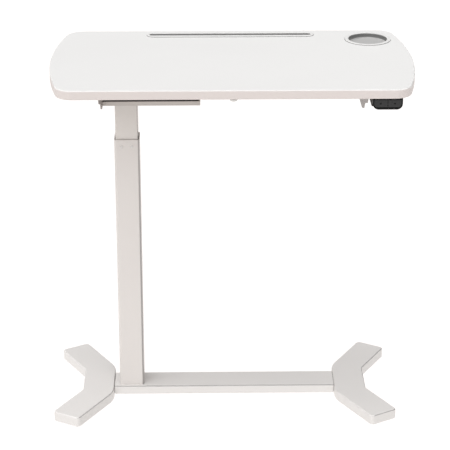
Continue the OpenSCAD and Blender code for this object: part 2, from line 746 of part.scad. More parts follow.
module box_block(inset, z0, z1) {
    translate([box_x0 + inset, box_y0 + inset, z0])
        cube([box_x1 - box_x0 - 2 * inset, box_y1 - box_y0 - 2 * inset, z1 - z0]);
}
module control_box() {
    color("black") place_top() difference() {
        box_block(0, -box_h, -lid_thk);
        box_block(box_wall, -box_h + box_wall, 0);
        for (x = [box_x0, box_x1]) translate([x, -lead_hole_y, box_lead_z]) rotate([0, 90, 0])
            cylinder(d = lead_d + 2 * pocket_gap, h = 4 * box_wall, center = true);
        translate([inlet_x - inlet_w / 2 - pocket_gap, box_y0 - 1, inlet_z - inlet_h / 2 - pocket_gap])
            cube([inlet_w + 2 * pocket_gap, box_wall + 2, inlet_h + 2 * pocket_gap]);
    }
}
module control_box_lid() {
    color("black") place_top() difference() {
        translate([box_x0 - lid_ear, box_y0, -lid_thk])
            cube([box_x1 - box_x0 + 2 * lid_ear, box_y1 - box_y0, lid_thk]);
        for (p = box_screws) translate([p.x, p.y, 0])
            rod(wood_d + 2 * screw_gap, -lid_thk - 1, 1);
    }
}
// Circuit board with a relay and three capacitors
module control_board() {
    board_bottom = -22;
    relay = [18, 22, 10];
    color("green") place_top() {
        translate([box_x0 + 12, box_y0 + 18, board_bottom]) cube([box_x1 - box_x0 - 24, 34, board_thk]);
        translate([box_x0 + 16, box_y0 + 24, board_bottom + board_thk]) cube(relay);
        for (i = [0:2]) translate([48 + 14 * i, box_y1 - 26, board_bottom + board_thk])
            cylinder(d = 10, h = 12.4);
    }
}
module power_inlet() {
    color("dimgray") place_top() translate([inlet_x, box_y0, inlet_z]) {
        difference() {
            union() {
                translate([-inlet_w / 2, 0, -inlet_h / 2]) cube([inlet_w, inlet_len, inlet_h]);
                translate([-inlet_w / 2 - 2, -inlet_face, -inlet_h / 2 - 2])
                    cube([inlet_w + 4, inlet_face, inlet_h + 4]);
            }
            translate([0, -inlet_face - 1, 0]) rotate([-90, 0, 0])
                cylinder(d = inlet_bore_d, h = inlet_len - 1);
        }
        translate([0, 1, 0]) rotate([-90, 0, 0]) cylinder(d = inlet_pin_d, h = inlet_len - 4);
    }
}
module motor_lead() { color("black") place_top() swept(motor_route, lead_d, 8); }
module handset_lead() { color("black") place_top() swept(handset_route, lead_d, 8); }
module lead_clips() {
    color("whitesmoke") place_top() for (p = clip_spots) translate([p.x, p.y, 0]) rotate(p.z)
        difference() {
            translate([-clip_w / 2, -clip_len / 2, -clip_h]) cube([clip_w, clip_len, clip_h]);
            translate([-clip_w, 0, clip_z]) rotate([0, 90, 0]) cylinder(d = clip_bore_d, h = 2 * clip_w);
            translate([-clip_w, -clip_bore_d / 2, clip_z]) cube([2 * clip_w, clip_bore_d, 1 - clip_z]);
        }
}

// Handset ----------------------------------------------------------------------------

module place_handset() { place_top() translate([handset_x, handset_face_y, 0]) children(); }
module toward_back(y0, y1) {
    translate([0, y0, 0]) rotate([90, 0, 0]) mirror([0, 0, 1]) linear_extrude(y1 - y0) children();
}

// Panel that hangs from height 0, its two lower corners rounded to radius r
module hung_panel(w, h, r, inset) {
    half = w / 2 - inset;
    polygon(soften([[-half, inset - h], [half, inset - h], [half, -inset], [-half, -inset]],
        [r - inset, r - inset, 1, 1], 8));
}
module face_plan(inset) { hung_panel(face_w, face_h, face_corner_r, inset); }
module back_plan(inset) { hung_panel(handset_w, handset_h, handset_corner_r, inset); }
module handset_housing() {
    w = handset_wall;
    color("#1c1c1c") place_handset() difference() {
        union() {
            toward_back(bezel_thk, handset_nose + eps) face_plan(0);
            toward_back(handset_nose, handset_d) back_plan(0);
        }
        toward_back(0, handset_nose - w) face_plan(w);
        toward_back(0, handset_nose + w + eps) intersection() {
            face_plan(w);
            back_plan(w);
        }
        toward_back(handset_nose + w, handset_d - w) back_plan(w);
        for (y = handset_screws_y) translate([0, y, 0]) rod(wood_d + 2 * screw_gap, -w - 1, 1);
        translate([0, handset_d - 2 * w, handset_lead_z]) rotate([-90, 0, 0])
            cylinder(d = lead_d + 1.4, h = 4 * w);
    }
}
module at_key(side) {
    translate([side * (key_w + key_split) / 2, 0, -key_above - key_h / 2]) children();
}

// Block of one key from depth y0 to y1, larger by grow and kept inset within the face
module key_block(side, grow, inset, y0, y1) {
    intersection() {
        at_key(side) translate([-key_w / 2 - grow, y0, -key_h / 2 - grow])
            cube([key_w + 2 * grow, y1 - y0, key_h + 2 * grow]);
        toward_back(y0 - 1, y1 + 1) face_plan(inset);
        translate([side * (face_w + key_split) / 2, 0, 0])
            cube([face_w, 4 * key_depth, 4 * face_h], center = true);
    }
}
module handset_bezel() {
    half = key_split / 2 + key_w + key_gap;
    color("#101010") place_handset() difference() {
        toward_back(0, bezel_thk) face_plan(0);
        intersection() {
            translate([-half, -1, -key_above - key_h - key_gap])
                cube([2 * half, bezel_thk + 2, key_h + 2 * key_gap]);
            toward_back(-1, bezel_thk + 1) face_plan(key_side - key_gap);
        }
    }
}
module key(side) {
    color("#404040") place_handset() {
        key_block(side, 0, key_side, 0.3, key_depth);
        key_block(side, key_lip, handset_wall + 0.3, bezel_thk + 0.3, bezel_thk + 1.5);
    }
}
module handset_board() {
    color("green") place_handset()
        translate([-board_w / 2, board_depth, board_top - board_h]) cube([board_w, board_thk, board_h]);
}
module key_switches() {
    front = key_depth + key_travel + pocket_gap;
    color("black") place_handset() for (side = [-1, 1]) at_key(side)
        translate([-switch_w / 2, front, -switch_w / 2]) cube([switch_w, board_depth - front, switch_w]);
}

foot(-1);  // foot_left
foot(1);  // foot_right
foot_plate(-1);  // foot_plate_left
foot_plate(1);  // foot_plate_right
floor_pads(-1);  // floor_pads_left
floor_pads(1);  // floor_pads_right
base_beam();
spigot(-1);  // spigot_left
spigot(1);  // spigot_right
spigot_screws();
beam_access_plugs();
column_outer();
column_foot_plate();
column_bolts();
nut_tube();
spindle_nut();
upper_glide();
glide_studs();
column_inner();
lower_glide();
column_head_plate();
head_bolts();
spindle();
spindle_end_guide();
spindle_bearing();
gearbox_housing();
drive_motor();
motor_tray();
tray_hanger();
motor_cover();
side_arm(-1);  // side_arm_left
side_arm(1);  // side_arm_right
rail(-1);  // rail_front
rail(1);  // rail_rear
tabletop_board();
edge_band();
tablet_slot_insert();
cup_insert();
front_cover_cap();
underside_screws();
control_box();
control_box_lid();
control_board();
power_inlet();
motor_lead();
handset_lead();
lead_clips();
handset_housing();
handset_bezel();
handset_board();
key_switches();
key(-1);  // up_key
key(1);  // down_key
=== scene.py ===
import math

import bmesh
import bpy
from mathutils import Matrix, Vector


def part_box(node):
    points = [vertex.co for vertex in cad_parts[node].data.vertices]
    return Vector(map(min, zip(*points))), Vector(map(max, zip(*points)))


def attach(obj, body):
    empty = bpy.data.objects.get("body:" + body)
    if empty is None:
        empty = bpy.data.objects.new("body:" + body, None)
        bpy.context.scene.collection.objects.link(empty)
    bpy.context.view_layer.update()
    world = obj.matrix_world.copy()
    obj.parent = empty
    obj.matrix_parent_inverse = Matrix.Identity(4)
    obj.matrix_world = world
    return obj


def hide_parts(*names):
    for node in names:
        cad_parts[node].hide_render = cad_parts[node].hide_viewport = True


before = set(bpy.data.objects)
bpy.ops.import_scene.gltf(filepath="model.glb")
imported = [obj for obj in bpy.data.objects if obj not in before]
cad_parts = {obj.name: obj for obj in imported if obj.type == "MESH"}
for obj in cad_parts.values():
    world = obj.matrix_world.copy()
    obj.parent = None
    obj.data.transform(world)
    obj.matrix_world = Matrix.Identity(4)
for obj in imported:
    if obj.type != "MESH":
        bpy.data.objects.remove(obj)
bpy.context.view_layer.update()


# ---- Camera and studio ----------------------------------------------------------------
# A long lens in front of the table and well above it, looking slightly down at the top.
# The table stands alone in a white studio, under soft light from the left and from above.

scene = bpy.context.scene
focal_length = 139.54
camera_place = (-0.0686, -3.7044, 1.9408)
camera_tilt = 67.66
camera_pan = -0.90
air_strength = 0.16

lens = bpy.data.cameras.new("studio_camera")
lens.sensor_width = 36.0
lens.lens = focal_length
lens.clip_end = 60.0
camera = bpy.data.objects.new("studio_camera", lens)
camera.location = camera_place
camera.rotation_euler = (math.radians(camera_tilt), 0.0, math.radians(camera_pan))
scene.collection.objects.link(camera)
scene.camera = camera
scene.view_settings.view_transform = "Standard"


def soft_sun(name, toward, power, spread, colour):
    """Even light that comes from one side of the studio, through a wide screen."""
    lamp = bpy.data.lights.new(name, "SUN")
    lamp.energy = power
    lamp.angle = math.radians(spread)
    lamp.color = colour
    holder = bpy.data.objects.new(name, lamp)
    holder.rotation_euler = Vector(toward).to_track_quat("Z", "Y").to_euler()
    scene.collection.objects.link(holder)


soft_sun("key_light", toward=(-0.28, -0.40, 0.87), power=1.98, spread=80.0, colour=(0.985, 0.975, 0.975))
soft_sun("top_light", toward=(0.0, -0.25, 0.97), power=1.42, spread=110.0, colour=(0.965, 0.98, 1.0))

sky = bpy.data.worlds.new("studio_air")
sky.use_nodes = True
sky.node_tree.nodes["Background"].inputs["Color"].default_value = (1.0, 1.0, 1.0, 1.0)
sky.node_tree.nodes["Background"].inputs["Strength"].default_value = air_strength
scene.world = sky


# ---- Feet -------------------------------------------------------------------------------
# Each foot is a hollow casting shaped like a wide V, powder coated white with a faint
# orange-peel skin. Its upper edge has a soft radius, and a black steel plate closes it below.
# Where the rounded rim turns down to the right, painted shade darkens it.

foot_round = 0.0035
touch = 0.0001
weld_gap = 0.000002
flat_angle = 0.2
# How far painted edge shade darkens the marked faces.
edge_shade_depth = 0.45
mark_rough = 0.25
clear_coat_rough = 0.08
no_tone = (0.0, 0.0, 0.0, 1.0)


def shade(red, green, blue):
    """Linear colour of a screen colour given in 0 to 255."""
    def linear(value):
        value /= 255.0
        return value / 12.92 if value <= 0.04045 else ((value + 0.055) / 1.055) ** 2.4
    return (linear(red), linear(green), linear(blue), 1.0)


def new_group(name, inputs, outputs):
    """An empty shader group with a place input, some number inputs and some outputs."""
    group = bpy.data.node_groups.new(name, "ShaderNodeTree")
    for label, value in inputs:
        socket = group.interface.new_socket(label, in_out="INPUT", socket_type="NodeSocketFloat")
        socket.default_value = value
    group.interface.new_socket("Place", in_out="INPUT", socket_type="NodeSocketVector")
    for label in outputs:
        group.interface.new_socket(label, in_out="OUTPUT", socket_type="NodeSocketFloat")
    return group, group.nodes.new("NodeGroupInput"), group.nodes.new("NodeGroupOutput")


def feed(tree, value, socket):
    """Sets a socket to a number, or links another socket into it."""
    if isinstance(value, float):
        socket.default_value = value
    else:
        tree.links.new(value, socket)


def noise(tree, place, scale, detail):
    """Cloudy noise over the surface."""
    texture = tree.nodes.new("ShaderNodeTexNoise")
    texture.inputs["Detail"].default_value = detail
    feed(tree, scale, texture.inputs["Scale"])
    tree.links.new(place, texture.inputs["Vector"])
    return texture.outputs["Fac"]


def maths(tree, action, first, second):
    """One sum on two values, each a number or a socket."""
    node = tree.nodes.new("ShaderNodeMath")
    node.operation = action
    feed(tree, first, node.inputs[0])
    feed(tree, second, node.inputs[1])
    return node.outputs["Value"]


def make_peel():
    """Grain of a sprayed or moulded skin, with slow drift in tone over the surface."""
    group, given, result = new_group(
        "surface_grain", [("Grain Scale", 900.0), ("Drift Scale", 6.0)], ["Height", "Drift"])
    place = given.outputs["Place"]
    grain_scale = given.outputs["Grain Scale"]
    fine_to_coarse = 3.1
    coarse_share = 0.7
    fine_share = 0.3
    coarse = noise(group, place, grain_scale, 1.5)
    fine = noise(group, place, maths(group, "MULTIPLY", grain_scale, fine_to_coarse), 2.0)
    coarse_part = maths(group, "MULTIPLY", coarse, coarse_share)
    fine_part = maths(group, "MULTIPLY", fine, fine_share)
    drift = noise(group, place, given.outputs["Drift Scale"], 3.0)
    group.links.new(maths(group, "ADD", coarse_part, fine_part), result.inputs["Height"])
    group.links.new(drift, result.inputs["Drift"])
    return group


def make_handling():
    """Mask of fine scuffs and dust: long thin marks, thick in some patches and absent in others."""
    group, given, result = new_group(
        "handling_marks", [("Mark Scale", 60.0), ("Amount", 0.5)], ["Mask"])
    mark_level = 0.66
    patch_scale = 9.0
    stretch = group.nodes.new("ShaderNodeMapping")
    stretch.inputs["Scale"].default_value = (1.0, 6.0, 2.5)
    stretch.inputs["Rotation"].default_value = (0.3, 0.5, 0.7)
    group.links.new(given.outputs["Place"], stretch.inputs["Vector"])
    marks = noise(group, stretch.outputs["Vector"], given.outputs["Mark Scale"], 6.0)
    patch = noise(group, given.outputs["Place"], patch_scale, 2.0)
    thin = maths(group, "GREATER_THAN", marks, mark_level)
    spread = maths(group, "MULTIPLY", patch, given.outputs["Amount"])
    group.links.new(maths(group, "MULTIPLY", thin, spread), result.inputs["Mask"])
    return group


surface_grain = make_peel()
handling_marks = make_handling()


def tint(tree, colour, amount, tone):
    """Moves a colour toward a tone by an amount from 0 to 1."""
    mix = tree.nodes.new("ShaderNodeMix")
    mix.data_type = "RGBA"
    mix.inputs["B"].default_value = tone
    tree.links.new(colour, mix.inputs["A"])
    tree.links.new(amount, mix.inputs["Factor"])
    return mix.outputs["Result"]


def tint_by_height(tree, place, colour, bands, tone):
    """Moves a colour toward a tone by amounts set at heights, lowest first."""
    lowest = bands[0][0]
    highest = bands[-1][0]
    height = tree.nodes.new("ShaderNodeSeparateXYZ")
    tree.links.new(place, height.inputs["Vector"])
    scaled = tree.nodes.new("ShaderNodeMapRange")
    scaled.inputs["From Min"].default_value = lowest
    scaled.inputs["From Max"].default_value = highest
    tree.links.new(height.outputs["Z"], scaled.inputs["Value"])
    ramp = tree.nodes.new("ShaderNodeValToRGB")
    stops = ramp.color_ramp.elements
    stops[0].color = (bands[0][1],) * 3 + (1.0,)
    stops[1].color = (bands[-1][1],) * 3 + (1.0,)
    for level, amount in bands[1:-1]:
        stop = stops.new((level - lowest) / (highest - lowest))
        stop.color = (amount,) * 3 + (1.0,)
    tree.links.new(scaled.outputs["Result"], ramp.inputs["Fac"])
    return tint(tree, colour, ramp.outputs["Color"], tone)


def coated(name, dark, light, rough, grain_scale, grain_depth, metal=0.0, marks=0.25, coat=0.0,
           drift_scale=6.0, shine=0.5, bands=(), band_tone=no_tone):
    """A grained skin that drifts between two tones, with faint handling marks. Bands tint it
    by height with painted shade, and faces marked for painted edge shade are darker."""
    rough_swing = 0.06
    material = bpy.data.materials.new(name)
    material.use_nodes = True
    tree = material.node_tree
    skin = tree.nodes["Principled BSDF"]
    skin.inputs["Metallic"].default_value = metal
    skin.inputs["Coat Weight"].default_value = coat
    skin.inputs["Specular IOR Level"].default_value = shine
    skin.inputs["Coat Roughness"].default_value = clear_coat_rough
    place = tree.nodes.new("ShaderNodeTexCoord").outputs["Object"]
    grain = tree.nodes.new("ShaderNodeGroup")
    grain.node_tree = surface_grain
    grain.inputs["Grain Scale"].default_value = grain_scale
    grain.inputs["Drift Scale"].default_value = drift_scale
    worn = tree.nodes.new("ShaderNodeGroup")
    worn.node_tree = handling_marks
    worn.inputs["Amount"].default_value = marks
    tree.links.new(place, grain.inputs["Place"])
    tree.links.new(place, worn.inputs["Place"])
    tone = tree.nodes.new("ShaderNodeMix")
    tone.data_type = "RGBA"
    tone.inputs["A"].default_value = dark
    tone.inputs["B"].default_value = light
    tree.links.new(grain.outputs["Drift"], tone.inputs["Factor"])
    # This face layer darkens the marked faces with painted shade, standing in for the dark reflection
    # along rounded edges.
    thin = tree.nodes.new("ShaderNodeAttribute")
    thin.attribute_name = "painted_edge_shade"
    shadow = maths(tree, "MULTIPLY", thin.outputs["Fac"], edge_shade_depth)
    colour = tint(tree, tone.outputs["Result"], shadow, no_tone)
    if bands:
        colour = tint_by_height(tree, place, colour, bands, band_tone)
    tree.links.new(colour, skin.inputs["Base Color"])
    swing_part = maths(tree, "MULTIPLY", grain.outputs["Drift"], rough_swing)
    mark_part = maths(tree, "MULTIPLY", worn.outputs["Mask"], mark_rough)
    even_part = maths(tree, "ADD", swing_part, rough)
    tree.links.new(maths(tree, "ADD", even_part, mark_part), skin.inputs["Roughness"])
    bump = tree.nodes.new("ShaderNodeBump")
    bump.inputs["Strength"].default_value = 1.0
    bump.inputs["Distance"].default_value = grain_depth
    tree.links.new(grain.outputs["Height"], bump.inputs["Height"])
    tree.links.new(bump.outputs["Normal"], skin.inputs["Normal"])
    return material


def clean_copy(node):
    """A bmesh of a frame node, with its loose triangles joined into whole faces."""
    body = bmesh.new()
    body.from_mesh(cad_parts[node].data)
    bmesh.ops.remove_doubles(body, verts=body.verts, dist=weld_gap)
    bmesh.ops.dissolve_limit(body, angle_limit=math.radians(flat_angle), verts=body.verts,
                             edges=body.edges)
    body.faces.layers.float.new("painted_edge_shade")
    return body


def creases(body, chosen=lambda middle: True, least=32.0):
    """The sharp edges of a shape whose middle passes a test."""
    found = []
    for edge in body.edges:
        if len(edge.link_faces) == 2 and edge.calc_face_angle(0.0) > math.radians(least):
            if chosen((edge.verts[0].co + edge.verts[1].co) / 2.0):
                found.append(edge)
    return found


def mark_shaded_faces(body, faces, test):
    """Marks the faces that pass a test for painted edge shade, and clears the others."""
    mark = body.faces.layers.float["painted_edge_shade"]
    for face in faces:
        face[mark] = 1.0 if test(face) else 0.0


def soften(body, edges, radius, steps=3, thin=lambda face: False):
    """Rounds some edges, and marks the new faces that pass a test for painted edge shade."""
    made = bmesh.ops.bevel(body, geom=edges, offset=radius, offset_type="OFFSET", segments=steps,
                           profile=0.5, affect="EDGES", clamp_overlap=True, material=-1)
    mark_shaded_faces(body, made["faces"], thin)


def place_piece(body, name, material, ride_on, nodes=(), sharp=40.0):
    """Turns a bmesh into a finished piece that rides on a body and stands for some nodes."""
    mesh = bpy.data.meshes.new(name)
    body.normal_update()
    body.to_mesh(mesh)
    body.free()
    mesh.shade_smooth()
    mesh.set_sharp_from_angle(angle=math.radians(sharp))
    mesh.materials.append(material)
    piece = bpy.data.objects.new(name, mesh)
    scene.collection.objects.link(piece)
    even = piece.modifiers.new("even_shading", "WEIGHTED_NORMAL")
    even.keep_sharp = True
    even.weight = 90
    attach(piece, ride_on)
    if nodes:
        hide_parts(*nodes)
    return piece


def dress(node, material):
    """Gives a frame node its finish and leaves its shape alone."""
    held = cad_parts[node]
    held.data.materials.clear()
    held.data.materials.append(material)


def foot_shaded_rim(face):
    """True for the rounded rim of a foot where it turns down to the right, which gets painted shade."""
    return face.normal.x > 0.25 and 0.2 < face.normal.z < 0.85


powder_white = coated("white_powder_coat", shade(225, 222, 219), shade(231, 228, 225),
                      rough=0.34, grain_scale=700.0, grain_depth=0.00003)
plate_black = coated("plate_black_coat", shade(58, 58, 60), shade(70, 70, 72),
                     rough=0.5, grain_scale=600.0, grain_depth=0.00004)
for side in ("left", "right"):
    node = "foot_" + side
    foot_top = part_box(node)[1].z
    foot = clean_copy(node)
    upper_edges = creases(foot, lambda middle: middle.z > foot_top - touch)
    soften(foot, upper_edges, foot_round, steps=4, thin=foot_shaded_rim)
    place_piece(foot, node + "_casting", powder_white, "base", [node])
    dress("foot_plate_" + side, plate_black)


# ---- Floor pads -------------------------------------------------------------------------
# Four moulded rubber pads under each foot keep it off the floor. Each is a disc with a
# stem that pushes up into a boss in the casting.

pad_round = 0.0006
rubber = coated("pad_rubber", shade(86, 86, 86), shade(104, 104, 104),
                rough=0.75, grain_scale=1400.0, grain_depth=0.00003, marks=0.5)
for side in ("left", "right"):
    node = "floor_pads_" + side
    pad_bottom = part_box(node)[0].z
    pads = clean_copy(node)
    soften(pads, creases(pads, lambda middle: middle.z < pad_bottom + touch), pad_round, steps=2)
    place_piece(pads, node + "_rubber", rubber, "base", [node])


# ---- Floor beam -------------------------------------------------------------------------
# A flat rectangular steel tube joins the feet. It slides over a steel bar at each end, and
# countersunk screws hold the bars from below. Plastic plugs close the holes in its underside.

steel_plain = coated("oiled_steel", shade(132, 132, 134), shade(150, 150, 152),
                     rough=0.34, grain_scale=500.0, grain_depth=0.00002, metal=1.0)
zinc = coated("zinc_plate", shade(176, 178, 180), shade(196, 197, 198),
              rough=0.28, grain_scale=900.0, grain_depth=0.00001, metal=1.0)
plug_plastic = coated("plug_plastic", shade(205, 203, 200), shade(214, 212, 209),
                      rough=0.5, grain_scale=1200.0, grain_depth=0.00002)
beam = clean_copy("base_beam")
# The rounded front top edge of the beam gets painted shade.
mark_shaded_faces(beam, beam.faces, lambda face: face.normal.y < -0.3 and face.normal.z > 0.25)
place_piece(beam, "floor_beam_tube", powder_white, "base", ["base_beam"], sharp=50.0)
for node in ("spigot_left", "spigot_right"):
    dress(node, steel_plain)
dress("spigot_screws", zinc)
dress("beam_access_plugs", plug_plastic)


# ---- Outer tube -------------------------------------------------------------------------
# The fixed half of the column is a square steel tube with rounded corners that stands on the
# beam. Its top rim is lightly rounded, and a steel plate inside its foot takes the bolts.

tube_rim = 0.0005
# The outer tube's coat is a slightly darker copy of the feet's white coat, with shade on the tube painted
# into it.
powder_column_shaded = coated("outer_tube_coat_painted_shade", shade(219, 214, 210), shade(226, 221, 217),
                       rough=0.34, grain_scale=700.0, grain_depth=0.00003)


def mark_shaded_corner(body):
    """Marks the rounded front right corner of a tube for painted shade."""
    body.normal_update()
    mark_shaded_faces(body, body.faces, lambda face: face.normal.x > 0.35 and -0.98 < face.normal.y < -0.1)


tube_low, tube_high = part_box("column_outer")
tube = clean_copy("column_outer")
soften(tube, creases(tube, lambda middle: middle.z > tube_high.z - touch), tube_rim, steps=2)
mark_shaded_corner(tube)
place_piece(tube, "column_outer_tube", powder_column_shaded, "base", ["column_outer"])
dress("column_foot_plate", steel_plain)
dress("column_bolts", zinc)


# ---- Glide studs ------------------------------------------------------------------------
# Two low domed studs on the front of the outer tube, and two on its back, pin the upper
# glide in place. They are light grey and pressed in.

stud_r = 0.0034
stud_rise = 0.0014
stud_inset = 0.003
stud_steps = 5
stud_turns = 20
stud_grey = coated("stud_plate", shade(214, 211, 208), shade(222, 219, 216),
                   rough=0.3, grain_scale=1500.0, grain_depth=0.00001, metal=0.1)


def turned(profile, middle, turns):
    """A closed shape of revolution about a vertical axis through a middle point."""
    body = bmesh.new()
    line = [body.verts.new((r, 0.0, z)) for r, z in profile]
    edges = [body.edges.new(pair) for pair in zip(line, line[1:])]
    bmesh.ops.spin(body, geom=line + edges, cent=(0, 0, 0), axis=(0, 0, 1), angle=math.tau,
                   steps=turns, use_merge=True, use_duplicate=False)
    bmesh.ops.remove_doubles(body, verts=body.verts, dist=weld_gap)
    bmesh.ops.recalc_face_normals(body, faces=body.faces)
    bmesh.ops.translate(body, verts=body.verts, vec=(middle[0], middle[1], 0.0))
    return body


def join(into, other, turn):
    """Adds one shape to another after turning and moving it, and frees it."""
    bmesh.ops.transform(other, matrix=turn, verts=other.verts)
    spare = bpy.data.meshes.new("spare")
    other.to_mesh(spare)
    other.free()
    into.from_mesh(spare)
    bpy.data.meshes.remove(spare)


stud_low, stud_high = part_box("glide_studs")
stud_z = (stud_low.z + stud_high.z) / 2.0
stud_profile = [(0.0, 0.0)]
for step in range(stud_steps):
    a = math.radians(90.0 * step / stud_steps)
    stud_profile.append((stud_r * math.cos(a), stud_rise * math.sin(a)))
stud_profile.append((0.0, stud_rise))
studs = bmesh.new()
for x in (stud_low.x + stud_inset, stud_high.x - stud_inset):
    for y, turn in ((tube_low.y, 90.0), (tube_high.y, -90.0)):
        join(studs, turned(stud_profile, (0.0, 0.0), stud_turns),
             Matrix.Translation((x, y, stud_z)) @ Matrix.Rotation(math.radians(turn), 4, "X"))
place_piece(studs, "glide_stud_heads", stud_grey, "base", ["glide_studs"])


# ---- Inner tube and glides --------------------------------------------------------------
# The moving half of the column is a smaller steel tube that slides in two plastic glides,
# one at the top of the outer tube and one on its own foot. A third guides the spindle's end.

powder_tube = coated("inner_tube_coat", shade(224, 219, 214), shade(230, 225, 220),
                     rough=0.34, grain_scale=700.0, grain_depth=0.00003)
glide_black = coated("glide_plastic", shade(52, 52, 54), shade(66, 66, 68),
                     rough=0.42, grain_scale=1200.0, grain_depth=0.00002)
inner = clean_copy("column_inner")
# Its front right corner gets the same painted shade as the outer tube's.
mark_shaded_corner(inner)
place_piece(inner, "column_inner_tube", powder_tube, "lift", ["column_inner"])
for node in ("upper_glide", "lower_glide", "spindle_end_guide"):
    dress(node, glide_black)


# ---- Spindle drive ----------------------------------------------------------------------
# A steel spindle hangs from the gearbox on a ball bearing and turns in a brass nut, which
# a plain steel tube holds up inside the column. Bolts clamp the gearbox to the head plate.

case_round = 0.0006
brass = coated("nut_brass", shade(186, 150, 84), shade(206, 170, 100),
               rough=0.3, grain_scale=500.0, grain_depth=0.00001, metal=1.0)
alloy = coated("gearbox_alloy", shade(150, 150, 152), shade(172, 172, 174),
               rough=0.45, grain_scale=350.0, grain_depth=0.00008, metal=0.9)
can_black = coated("motor_can_paint", shade(40, 40, 42), shade(50, 50, 52),
                   rough=0.35, grain_scale=900.0, grain_depth=0.00002)
dress("spindle", steel_plain)
dress("spindle_nut", brass)
dress("nut_tube", steel_plain)
dress("spindle_bearing", zinc)
for node, colour in (("gearbox_housing", alloy), ("drive_motor", can_black)):
    casing = clean_copy(node)
    soften(casing, creases(casing, least=50.0), case_round, steps=2)
    place_piece(casing, node + "_case", colour, "lift", [node])
dress("column_head_plate", zinc)
dress("head_bolts", zinc)


# ---- Drive tray and cover ---------------------------------------------------------------
# A folded steel tray carries the drive under the left end of the top, and a dark plastic
# cover closes it in. A steel plate hangs the tray's free end from the rails.

powder_frame = coated("frame_powder_coat", shade(204, 198, 193), shade(212, 206, 201),
                      rough=0.42, grain_scale=650.0, grain_depth=0.00004)
black_plastic = coated("black_plastic", shade(58, 56, 54), shade(66, 64, 62),
                       rough=0.48, grain_scale=1100.0, grain_depth=0.00004, marks=0.4)
for node, colour, radius in (("motor_tray", powder_frame, 0.0008),
                             ("tray_hanger", powder_frame, 0.0005),
                             ("motor_cover", black_plastic, 0.0012)):
    sheet = clean_copy(node)
    soften(sheet, creases(sheet), radius, steps=2)
    place_piece(sheet, node + "_folded", colour, "lift", [node])


# ---- Rails and side arms ----------------------------------------------------------------
# Two steel tubes run the length of the frame between two tapered steel arms, which are
# screwed up into the top. All of it is welded and powder coated.

bar_round = 0.0005
# The arms and rails get a darker copy of the tray's coat, with the shade under the top painted into it.
powder_arm_shaded = coated("arm_coat_painted_shade", shade(150, 143, 139), shade(158, 151, 147),
                    rough=0.45, grain_scale=650.0, grain_depth=0.00004)
for node in ("side_arm_left", "side_arm_right", "rail_front", "rail_rear"):
    bar = clean_copy(node)
    soften(bar, creases(bar), bar_round, steps=2)
    place_piece(bar, node + "_steel", powder_arm_shaded, "lift", [node])


# ---- Tabletop ---------------------------------------------------------------------------
# A fibreboard panel wrapped in white, with bowed ends, round corners and a soft edge all
# round. A round pocket and a long one are routed into it for the two inserts. Below the
# rounded top edge, painted shade tints its sides darker and warmer.

bow_r = 0.844
bow_steps = 40
corner_r = 0.039
corner_steps = 14
edge_round = 0.0025
pocket_gap = 0.0003
pocket_depth = 0.04
cup_wall_r = 0.046
slot_wall_half = (0.188, 0.0095)
round_turns = 96
# Painted shade: the panel's sides below the rounded top edge are tinted darker and warmer.
edge_shade_bands = ((0.7940, 0.72), (0.8122, 0.72), (0.8148, 0.0), (0.8155, 0.0))
edge_shade_tone = shade(215, 203, 198)
top_white = coated("tabletop_white", shade(235, 234, 232), shade(239, 238, 236),
                   rough=0.44, grain_scale=1500.0, grain_depth=0.00001, marks=0.15, drift_scale=3.0,
                   bands=edge_shade_bands, band_tone=edge_shade_tone)


def swing(centre, start, turn, steps):
    """Points of an arc about a centre, from a start point through a turn in radians."""
    arm = Vector(start) - Vector(centre)
    points = []
    for step in range(steps + 1):
        a = turn * step / steps
        points.append((centre[0] + arm.x * math.cos(a) - arm.y * math.sin(a),
                       centre[1] + arm.x * math.sin(a) + arm.y * math.cos(a)))
    return points


def bowed_outline(half_l, half_w):
    """Right end of the top as arcs, then the same again for the left end."""
    bow_x = half_l - bow_r
    corner_x = bow_x + math.sqrt((bow_r - corner_r) ** 2 - (half_w - corner_r) ** 2)
    a = math.atan2(half_w - corner_r, corner_x - bow_x)
    meet = (bow_x + bow_r * math.cos(a), -bow_r * math.sin(a))
    end = swing((corner_x, corner_r - half_w), (corner_x, -half_w), math.pi / 2 - a, corner_steps)
    end += swing((bow_x, 0.0), meet, 2 * a, bow_steps)[1:-1]
    end += swing((corner_x, half_w - corner_r), (meet[0], -meet[1]), math.pi / 2 - a, corner_steps)
    return end + [(-x, -y) for x, y in end]


def pill_outline(half_l, half_w, middle, steps=16):
    """A slot outline with round ends, about a middle point."""
    reach = half_l - half_w
    right = swing((reach, 0.0), (reach, -half_w), math.pi, steps)
    points = right + [(-x, -y) for x, y in right]
    return [(x + middle[0], y + middle[1]) for x, y in points]


def pull_out(body, face, by):
    """Pulls one face out into a closed solid."""
    grown = bmesh.ops.extrude_face_region(body, geom=[face])["geom"]
    far = [corner for corner in grown if isinstance(corner, bmesh.types.BMVert)]
    bmesh.ops.translate(body, verts=far, vec=by)
    bmesh.ops.recalc_face_normals(body, faces=body.faces)


def raise_outline(points, low, high):
    """A closed prism over an outline."""
    body = bmesh.new()
    body.faces.layers.float.new("painted_edge_shade")
    floor = body.faces.new([body.verts.new((x, y, low)) for x, y in points])
    pull_out(body, floor, (0.0, 0.0, high - low))
    return body


